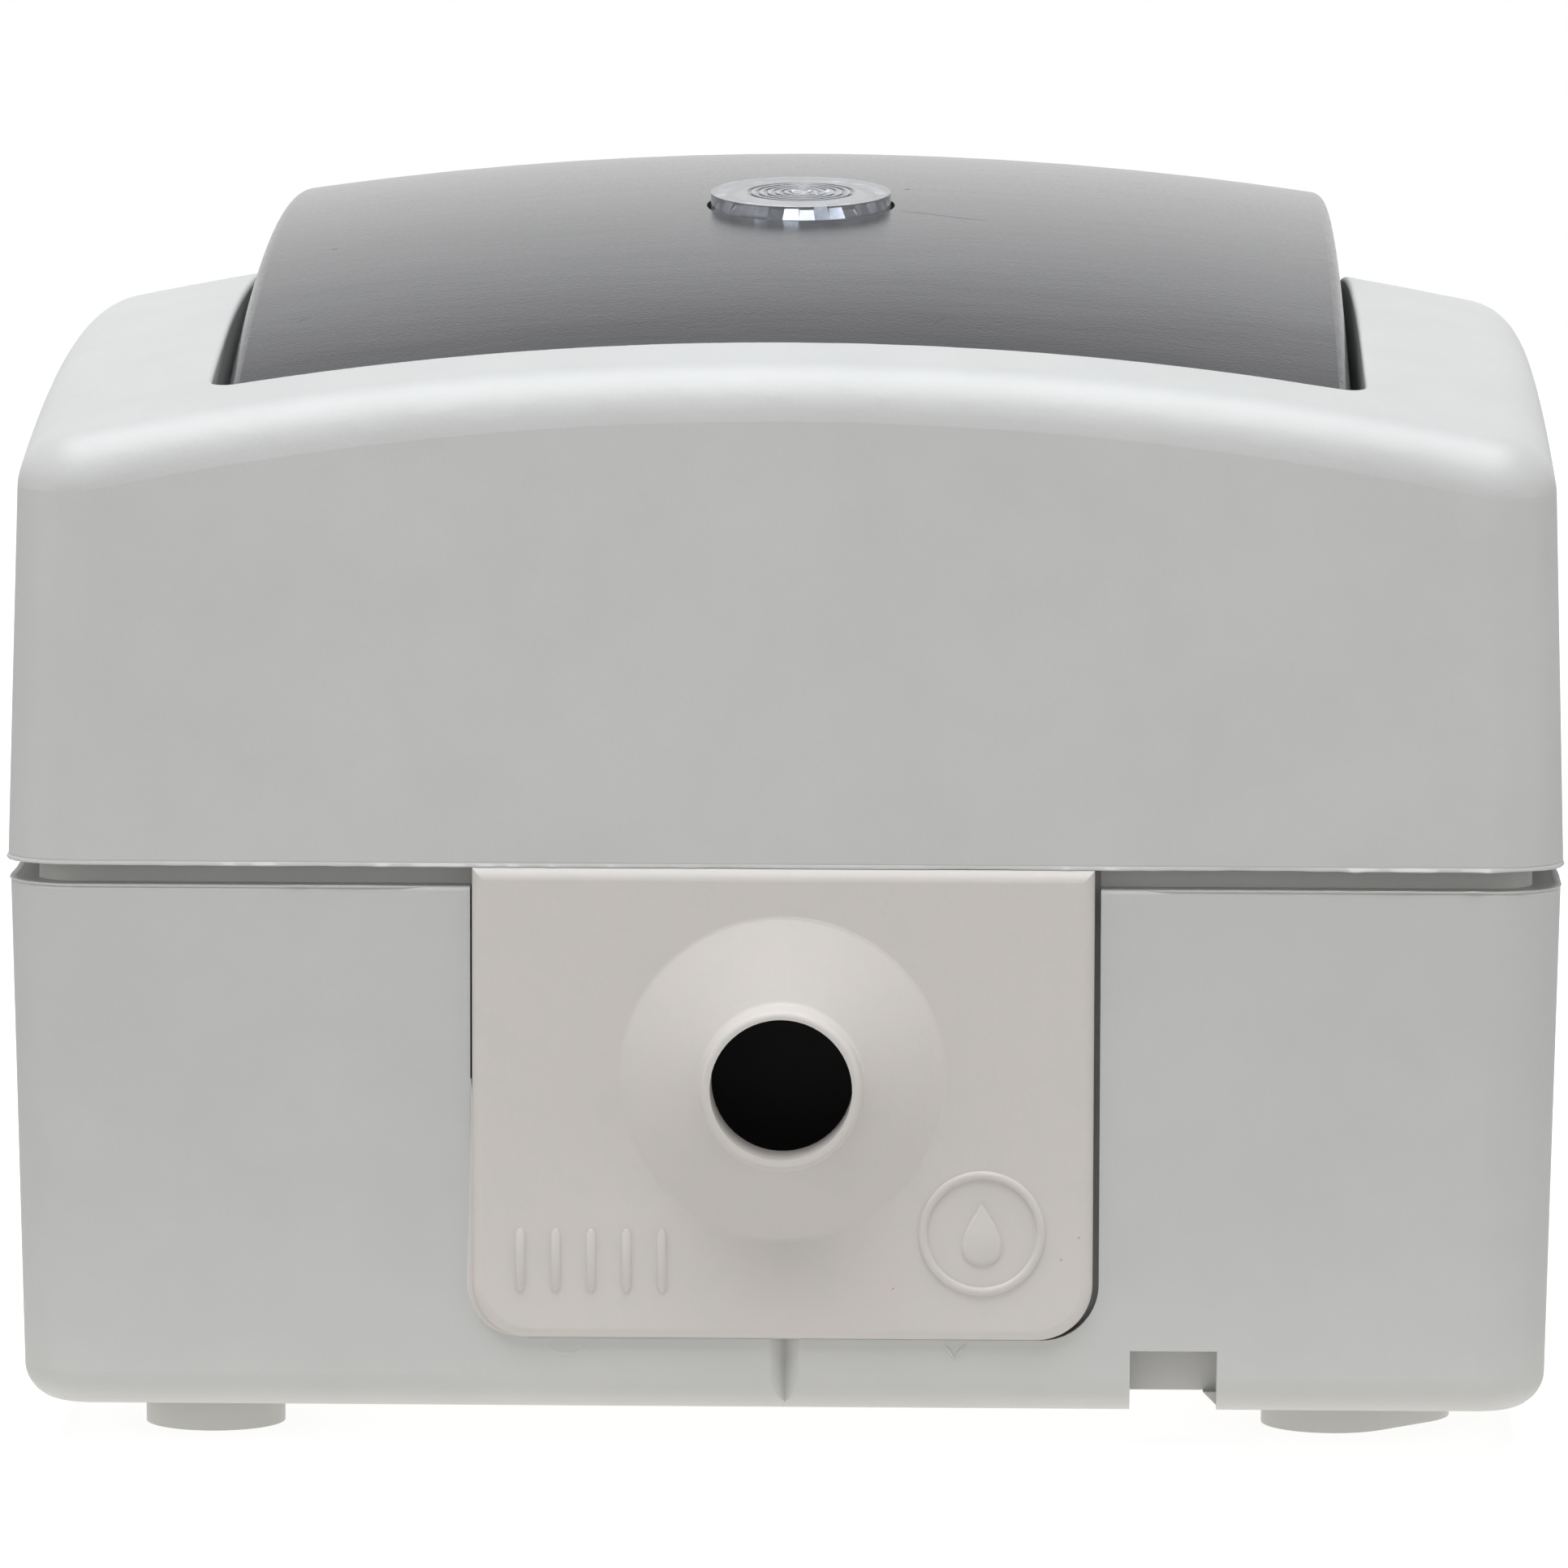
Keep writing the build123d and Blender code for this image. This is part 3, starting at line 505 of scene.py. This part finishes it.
def round_square(half, corner, step):
    """Places and outward directions along a square with rounded corners, about one step apart."""
    straight = half - corner
    runs = max(2, round(2 * straight / step))
    for quarter in range(4):
        turn = Matrix.Rotation(quarter * math.pi / 2, 3, "Z")
        for number in range(runs):
            along = -straight + 2 * straight * number / runs
            yield turn @ Vector((along, -half, 0)), turn @ Vector((0, -1, 0))
        for number in range(corner_bends):
            angle = number / corner_bends * math.pi / 2
            out = Vector((math.sin(angle), -math.cos(angle), 0))
            yield turn @ (Vector((straight, -straight, 0)) + out * corner), turn @ out


def flash_rings(half, level, rise, reach, lumps, seed):
    """Rings of a wavy fin. It rises from a level by the given height, down where that is negative."""
    rings = []
    for place, out in round_square(half, case_corner, flash_step):
        wave = noise.noise(place / flash_wave + Vector((0, 0, seed)))
        ripple = noise.noise(place / flash_ripple + Vector((0, 0, seed)))
        swell = 1 + wave_share * wave + ripple_share * ripple
        for spot, size in lumps:
            swell += size * math.exp(-((place - spot).length / flash_lump) ** 2)
        foot = place + Vector((0, 0, level))
        lift = Vector((0, 0, rise))
        rings.append([
            foot - out * flash_root + lift * fin_top,
            foot + out * fin_shoulder * reach + lift * fin_top,
            foot + out * reach * swell + lift * (fin_tip - tip_pull * (swell - 1)),
            foot + out * fin_belly * reach * swell - lift * (fin_heel + belly_pull * (swell - 1)),
            foot - out * flash_root - lift * fin_heel,
        ])
    return rings


def edge_lumps(half, plan):
    """Lumps on the front edge of a square of that half width: places, from x in mm, and sizes."""
    return [(Vector((x * mm, -half, 0)), size) for x, size in plan]


cover_low, cover_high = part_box("cover_hood")
_, base_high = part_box("base_box")
plate_low, plate_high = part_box("cable_grommet")
parting_gap = 0.87 * mm
hood_rise, hood_reach, hood_seed = 0.12 * mm, 0.07 * mm, 3.7
hood_lumps = edge_lumps(cover_high.x, ((24.1, 1.0), (29.7, 0.8), (-17.0, 0.6)))
hood_rings = flash_rings(cover_high.x, cover_low.z, hood_rise, hood_reach, hood_lumps, hood_seed)
add_skin("hood_flash", hood_rings, True, case_abs, "case")

# The base's fin runs right round, except where the grommet's plate fills the slot, and fades out there.
base_rise, base_reach, base_seed = -0.07 * mm, 0.05 * mm, 8.2
base_fade = (12, 12)
base_rim_level = cover_low.z - parting_gap
base_lumps = edge_lumps(base_high.x, ((29.1, 1.6), (30.9, 1.2), (-20.5, 0.8)))
base_rings = flash_rings(base_high.x, base_rim_level, base_rise, base_reach, base_lumps, base_seed)
before_plate = next(n for n, ring in enumerate(base_rings) if ring[0].x > plate_low.x - flash_step)
past_plate = next(n for n, ring in enumerate(base_rings) if ring[0].x > plate_high.x + flash_step)
base_run = base_rings[past_plate:] + base_rings[:before_plate]
add_skin("base_flash", thinned(base_run, 0, base_fade), False, case_abs, "case")
print("Hood's lower edge in mm:", round(cover_low.z / mm, 2), "base's rim:", round(base_rim_level / mm, 2))

# %% [markdown]
# ## Marks on the grommet
#
# The soft plate carries low moulded marks on both sides below the nipple. Here they are plain: five upright
# ribs on the left, and on the right a drop inside a ring, which says that the box keeps splashes out. They
# could be lines in a bump pattern, but moulded marks have a real edge that catches the light, so each is a
# bead about 0.15 mm high on the plate.

# %% Raise the ribs and the drop
inwards = Vector((0, 1, 0))
stand_off = 10 * mm
before_front = cad_box[0][1] - stand_off


def front_path(places):
    """Places in front of the part for a path given by x and z in mm."""
    return [Vector((x * mm, before_front, z * mm)) for x, z in places]


mark_height = 0.15 * mm
rib_width = 0.42 * mm
rib_first, rib_pitch, rib_count = -11.1, 1.5, 5
rib_places = [rib_first + rib_pitch * number for number in range(rib_count)]
rib_low, rib_high, rib_bevel = 6.95, 9.65, 0.2
for number, x in enumerate(rib_places):
    upright = front_path([(x, rib_low), (x, rib_low + rib_bevel), (x, rib_high - rib_bevel), (x, rib_high)])
    rings = bead_rings("cable_grommet", upright, inwards, rib_width, mark_height, False)
    add_skin(f"grommet_rib_{number + 1}", rings, False, grommet_tpe, "case")

sign_x, sign_z = 8.45, 9.55
ring_radius, ring_stroke = 2.5, 0.4 * mm
drop_half_width, drop_half_height = 0.95, 1.4
drop_fullness, drop_point = 1.3, 1.5
drop_levels = ((1.0, -0.05 * mm), (0.94, 0.7 * mark_height), (0.82, mark_height))
turn_steps = 48
turns = [2 * math.pi * number / turn_steps for number in range(turn_steps)]
ring_path = front_path([
    (sign_x + ring_radius * math.sin(t), sign_z + ring_radius * math.cos(t)) for t in turns
])
rings = bead_rings("cable_grommet", ring_path, inwards, ring_stroke, mark_height, True)
add_skin("splash_ring", rings, True, grommet_tpe, "case")
drop_spread = drop_fullness * drop_half_width
drop_outline = [
    (drop_spread * math.sin(t) * math.sin(t / 2) ** drop_point, drop_half_height * math.cos(t))
    for t in turns
]
drop_rings = []
for spread, up in drop_levels:
    path = front_path([(sign_x + spread * x, sign_z + spread * z) for x, z in drop_outline])
    seats = [touch("cable_grommet", place, inwards) for place in path]
    drop_rings.append([point + normal * up for point, normal in seats])
add_skin("splash_drop", drop_rings, False, grommet_tpe, "case")
print("Grommet marks:", len(rib_places), "ribs, a ring and a drop")

# %% [markdown]
# ## Traces of handling
#
# The rocker has been pushed and wiped: a hairline scratch runs from the lens to the right, and there are a
# few short scuffs and specks. They are far too few for a pattern in the material, so each is a flat bead
# about a tenth of a millimetre wide that lies on the rocker and turns with it.

# %% Lay the scratches
downwards = Vector((0, 0, -1))
above_top = cad_box[1][2] + stand_off


def top_path(places):
    """Places above the part for a path given by x and y in mm."""
    return [Vector((x * mm, y * mm, above_top)) for x, y in places]


scratch_height = 0.006 * mm
rocker_scratches = {
    "rocker_hairline": ([(4.4, -2.1), (5.6, -2.6), (7.0, -3.25), (8.4, -3.6)], 0.07 * mm),
    "rocker_scuff_right": ([(6.1, -22.2), (6.2, -21.8), (6.4, -21.3), (6.9, -20.8)], 0.06 * mm),
    "rocker_speck_right": ([(4.6, 3.9), (4.7, 3.95), (4.85, 4.1)], 0.14 * mm),
    "rocker_speck_left": ([(-20.75, -5.1), (-20.65, -5.05), (-20.5, -5.0)], 0.10 * mm),
    "rocker_scuff_left": ([(-21.4, -17.6), (-21.2, -17.3), (-20.9, -17.2)], 0.06 * mm),
}
for name, (places, width) in rocker_scratches.items():
    rings = bead_rings("rocker_cap", top_path(places), downwards, width, scratch_height, False)
    add_skin(name, rings, False, scuffed_abs, "rocker")
print("Scratches on the rocker:", list(rocker_scratches))

# %% [markdown]
# ## Marks on the case
#
# Below the grommet the base has a small pointer and a faint half round, left by the mould's inserts. On the
# hood, a flat streak rises from the lower edge where the melt came in. At the lower left the soft plate is
# squeezed over the slot's rim and hides the gap, and three brown specks stick to the plate. Decals or a
# painted mask could show all this, but the marks have a real edge, so they are beads too, and most of them
# fade out at their ends.

# %% Lay the marks on the case
mark_top = 4.72
pointer_width, pointer_height = 0.16 * mm, 0.05 * mm
pointer = front_path([(6.83, mark_top), (7.1, 4.4), (7.32, 4.05), (7.54, 4.4), (7.79, mark_top)])
rings = bead_rings("base_box", pointer, inwards, pointer_width, pointer_height, False)
add_skin("base_pointer", rings, False, case_abs, "case")

bend_steps = 8
half_turns = [math.pi * number / bend_steps for number in range(bend_steps + 1)]
half_round_x, half_round_half, half_round_drop = -9.15, 0.95, 0.55
half_round = front_path([
    (half_round_x - half_round_half * math.cos(t), mark_top - half_round_drop * math.sin(t))
    for t in half_turns
])
gate_streak = front_path([(-0.05, 25.4), (0.05, 26.2), (-0.05, 27.4), (-0.1, 28.6), (-0.05, 29.4)])

squeeze_x, squeeze_z, squeeze_radius = -10.75, 7.3, 2.54
squeeze_levels = (16.0, 14.0, 10.0)
squeeze_places = [(squeeze_x - squeeze_radius, z) for z in squeeze_levels]
squeeze_places += [
    (squeeze_x - squeeze_radius * math.cos(t / 2), squeeze_z - squeeze_radius * math.sin(t / 2))
    for t in half_turns
]
squeeze = front_path(squeeze_places)
squeeze_section = ((-0.5, -0.4), (-0.3, 0.5), (0.2, 1.0), (0.7, 1.2), (1.0, 1.0), (1.0, -0.4))

case_marks = {
    "base_half_round": ("base_box", half_round, 0.25 * mm, 0.02 * mm, case_abs, bead_section),
    "hood_gate_streak": ("cover_hood", gate_streak, 0.80 * mm, 0.005 * mm, case_abs, bead_section),
    "grommet_squeeze": ("base_box", squeeze, 0.25 * mm, 0.05 * mm, grommet_tpe, squeeze_section),
}
mark_fade = (4, 5)
for name, (node, path, width, height, finish, section) in case_marks.items():
    rings = bead_rings(node, path, inwards, width, height, False, section)
    add_skin(name, thinned(rings, -1, mark_fade), False, finish, "case")

plate_specks = ((4.66, 7.12), (11.77, 8.40), (12.52, 9.35))
speck_length, speck_width, speck_height = 0.08, 0.11 * mm, 0.01 * mm
for number, (x, z) in enumerate(plate_specks):
    path = front_path([(x, z), (x + speck_length, z + speck_length)])
    rings = bead_rings("cable_grommet", path, inwards, speck_width, speck_height, False)
    add_skin(f"plate_speck_{number + 1}", rings, False, brown_soil, "case")
print("Marks on the case:", list(case_marks), "and", len(plate_specks), "specks")

# %% [markdown]
# ## Floor
#
# The object stands on white paper that is lit from below like a light table: it glows most under the object
# and fades outwards, so the lower edges and the feet stay bright. Stronger lamps would whiten the paper
# too, but they would wash out the object. So the paper shows an even white only to rays from the camera,
# and all other rays meet a glow that falls off with the distance from the middle. It takes the object's
# shadow in both cases.

# %% Build the floor
pad_glow = 0.85
pad_reach = 120 * mm
seen_glow = 0.82
floor_half = 0.6
floor_drop = 0.02 * mm

floor_mesh = bpy.data.meshes.new("floor")
corners = [(-1, -1), (1, -1), (1, 1), (-1, 1)]
floor_mesh.from_pydata([(x * floor_half, y * floor_half, 0) for x, y in corners], [], [(0, 1, 2, 3)])
floor = bpy.data.objects.new("floor", floor_mesh)
floor.location.z = -floor_drop
bpy.context.scene.collection.objects.link(floor)

floor_paper = new_material("floor_paper")
tree = floor_paper.node_tree
to_camera = add_node(tree, "LightPath").outputs["Is Camera Ray"]
place = add_node(tree, "TexCoord").outputs["Object"]
sides = add_node(tree, "VectorMath", {0: place}, operation="ABSOLUTE").outputs["Vector"]
apart = add_node(tree, "SeparateXYZ", {"Vector": sides})
distance = add_node(
    tree, "Math", {0: apart.outputs["X"], 1: apart.outputs["Y"]}, operation="MAXIMUM",
).outputs["Value"]
share = add_node(tree, "MapRange", {"Value": distance, "From Max": pad_reach}).outputs["Result"]
glow = add_ramp(tree, share, [(0.26, "#FFFCF6"), (0.33, "#B5B3AF"), (0.83, "#656462")])
paper = add_node(tree, "BsdfDiffuse", {"Color": linear("#A0A0A0")}).outputs[0]
pad = add_node(tree, "Emission", {"Color": glow, "Strength": pad_glow}).outputs[0]
sheen = add_node(tree, "Emission", {"Color": linear("#FFFFFF"), "Strength": seen_glow}).outputs[0]
lit = add_node(tree, "AddShader", {0: paper, 1: pad}).outputs[0]
seen = add_node(tree, "AddShader", {0: paper, 1: sheen}).outputs[0]
pick = add_node(tree, "MixShader", {"Fac": to_camera, 1: lit, 2: seen})
add_node(tree, "OutputMaterial", {"Surface": pick.outputs[0]})
floor_mesh.materials.append(floor_paper)
print("Floor of", 2 * floor_half, "m, glowing out to", round(pad_reach / mm), "mm from the middle")

# %% [markdown]
# ## Backdrop
#
# Behind the object the paper rises, and its brightness fades upwards. The rocker's satin skin mirrors that,
# which gives it a pale far end and a dark near one. A bent sheet could be modelled, but the world's colour
# by height does the same without an edge. Mirrored rays see it a little brighter than it lights the object,
# and the camera sees plain white.

# %% Build the backdrop
room_level = 0.55
mirrored_level = 1.12

world = bpy.data.worlds.new("paper_backdrop")
world.use_nodes = True
bpy.context.scene.world = world
tree = world.node_tree
tree.nodes.clear()
rays = add_node(tree, "LightPath")
direction = add_node(tree, "TexCoord").outputs["Generated"]
height = add_node(tree, "SeparateXYZ", {"Vector": direction}).outputs["Z"]
fade = add_ramp(tree, height, [(0.0, "#FFFFFF"), (0.45, "#F4F4F4"), (0.57, "#4A4A4A")])
room = add_node(tree, "Background", {"Color": fade, "Strength": room_level}).outputs[0]
mirrored = add_node(tree, "Background", {"Color": fade, "Strength": mirrored_level}).outputs[0]
white = add_node(tree, "Background", {"Color": linear("#FFFFFF"), "Strength": 1.0}).outputs[0]
unseen = add_node(tree, "MixShader", {"Fac": rays.outputs["Is Glossy Ray"], 1: room, 2: mirrored}).outputs[0]
pick = add_node(tree, "MixShader", {"Fac": rays.outputs["Is Camera Ray"], 1: unseen, 2: white})
add_node(tree, "OutputWorld", {"Surface": pick.outputs[0]})
print("Backdrop:", world.name, "at", room_level, "for light and", mirrored_level, "for mirrored rays")

# %% [markdown]
# ## Lamps
#
# A wide, slightly cool softbox hangs above, and three faint warm ones stand in front and at both sides, so
# that the front is even from corner to corner. One lamp from the front would do for the flat face, but the
# rounded corners would turn dark. Big square lamps give the soft edges of shadows that cloth boxes in a
# studio give.

# %% Hang the lamps
# Place in metres, side in metres, power in watts and colour.
lamp_plans = {
    "softbox_above": ((-0.02, -0.15, 0.80), 0.80, 10.3, "#F8FBFF"),
    "softbox_front": ((-0.20, -1.30, 0.20), 0.90, 0.8, "#FFFCF5"),
    "softbox_right": ((1.10, -0.45, 0.25), 0.70, 1.8, "#FFFCF5"),
    "softbox_left": ((-1.10, -0.45, 0.25), 0.70, 2.0, "#FFFCF5"),
}
lamp_target = Vector((0, 0, 25 * mm))
for name, (place, side, watts, colour) in lamp_plans.items():
    lamp_data = bpy.data.lights.new(name, "AREA")
    lamp_data.size = side
    lamp_data.energy = watts
    lamp_data.color = linear(colour)[:3]
    lamp = bpy.data.objects.new(name, lamp_data)
    lamp.location = place
    lamp.rotation_euler = (lamp_target - Vector(place)).to_track_quat("-Z", "Y").to_euler()
    bpy.context.scene.collection.objects.link(lamp)
print("Lamps:", list(lamp_plans))
